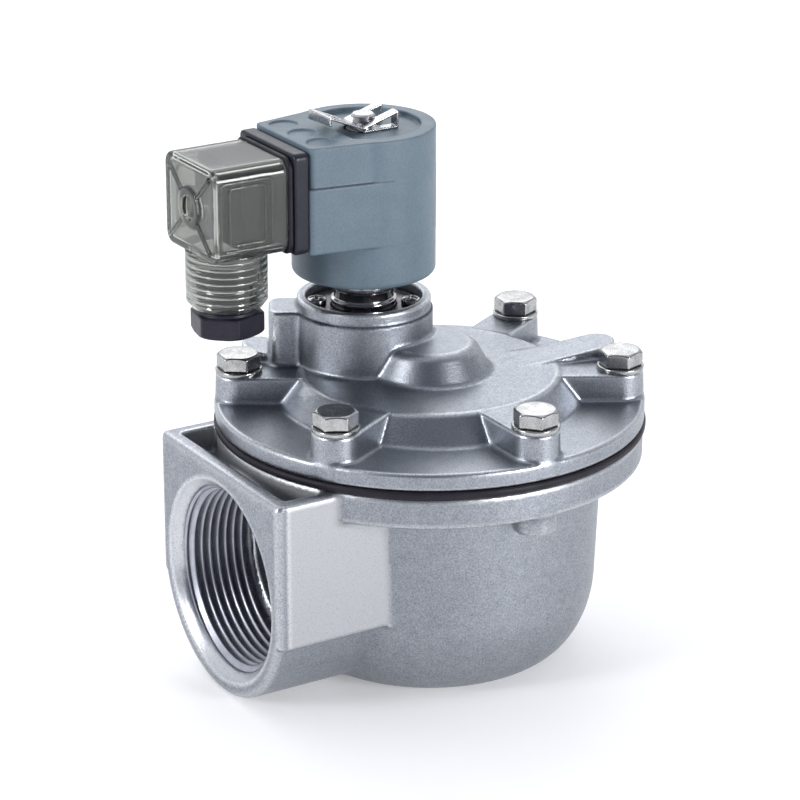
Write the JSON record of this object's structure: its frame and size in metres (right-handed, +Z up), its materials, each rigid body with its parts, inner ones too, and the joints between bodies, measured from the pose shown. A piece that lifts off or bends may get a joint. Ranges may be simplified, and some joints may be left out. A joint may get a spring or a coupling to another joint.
{
  "type": "diaphragm pulse valve",
  "caption": "Right-angle diaphragm pulse valve for a dust filter: cast body with threaded side inlet and bottom outlet, bolted cover, built-in pilot, coil and plug connector",
  "frame": {"origin": "centre of the outlet at the bottom face of the body", "axes": "+Z up, from the outlet to the coil; the inlet opens towards -X; +Y completes a right-handed frame"},
  "size_m": [0.1172, 0.1104, 0.142],
  "materials": {
    "cast_aluminium": "die-cast, sand-blasted, satin",
    "cast_aluminium_cover": "die-cast, as cast, satin",
    "black_rubber": "moulded, matt",
    "plate_steel": "pressed and zinc plated",
    "spring_steel": "drawn wire",
    "zinc_steel": "bright zinc plated",
    "polished_steel": "turned and polished",
    "dark_plate": "black oxide",
    "coil_resin": "moulded resin, fine matt",
    "copper_winding": "enamelled copper wire",
    "yoke_steel": "pressed steel",
    "bright_clip": "bright spring steel",
    "tinned_brass": "tinned",
    "frame_plastic": "moulded, satin",
    "clear_smoke": "see-through smoke plastic",
    "black_plastic": "moulded, satin"
  },
  "bodies": {
    "valve": {"body": "cast_aluminium", "cover": "cast_aluminium_cover", "main_diaphragm": "black_rubber", "main_spring": "spring_steel", "cover_bolts": "zinc_steel", "cover_washers": "zinc_steel", "armature_tube": "polished_steel", "tube_clamp_plate": "dark_plate", "pilot_screws": "dark_plate", "tube_o_ring": "black_rubber", "fixed_core": "polished_steel", "plunger_spring": "spring_steel"},
    "diaphragm_middle": {"upper_retainer": "plate_steel", "lower_retainer": "plate_steel", "diaphragm_rivet": "plate_steel"},
    "pilot_core": {"plunger": "polished_steel", "plunger_seal": "black_rubber"},
    "coil": {"coil_housing": "coil_resin", "coil_winding": "copper_winding", "coil_yoke": "yoke_steel", "coil_clip": "bright_clip", "coil_terminals": "tinned_brass", "terminal_frame": "frame_plastic", "connector_gasket": "black_rubber", "connector_housing": "clear_smoke", "connector_insert": "frame_plastic", "connector_contacts": "tinned_brass", "connector_screw": "zinc_steel", "screw_seal": "black_rubber", "gland_nut": "black_plastic", "gland_washer": "black_plastic", "gland_seal": "black_rubber"}
  },
  "joints": [
    {"name": "diaphragm_lift", "type": "slide", "parent": "valve", "child": "diaphragm_middle", "axis": [0, 0, 1], "range_m": [0, 0.008], "stiffness_N_per_m": 800, "springref_m": -0.012, "deforming": ["main_diaphragm", "main_spring"]},
    {"name": "pilot_lift", "type": "slide", "parent": "valve", "child": "pilot_core", "axis": [0, 0, 1], "range_m": [0, 0.0016], "stiffness_N_per_m": 300, "springref_m": -0.006, "deforming": ["plunger_spring"]},
    {"name": "coil_swivel", "type": "hinge", "parent": "valve", "child": "coil", "pos_m": [-0.0096, 0.01663, 0.12], "axis": [0, 0, 1], "continuous": true}
  ]
}
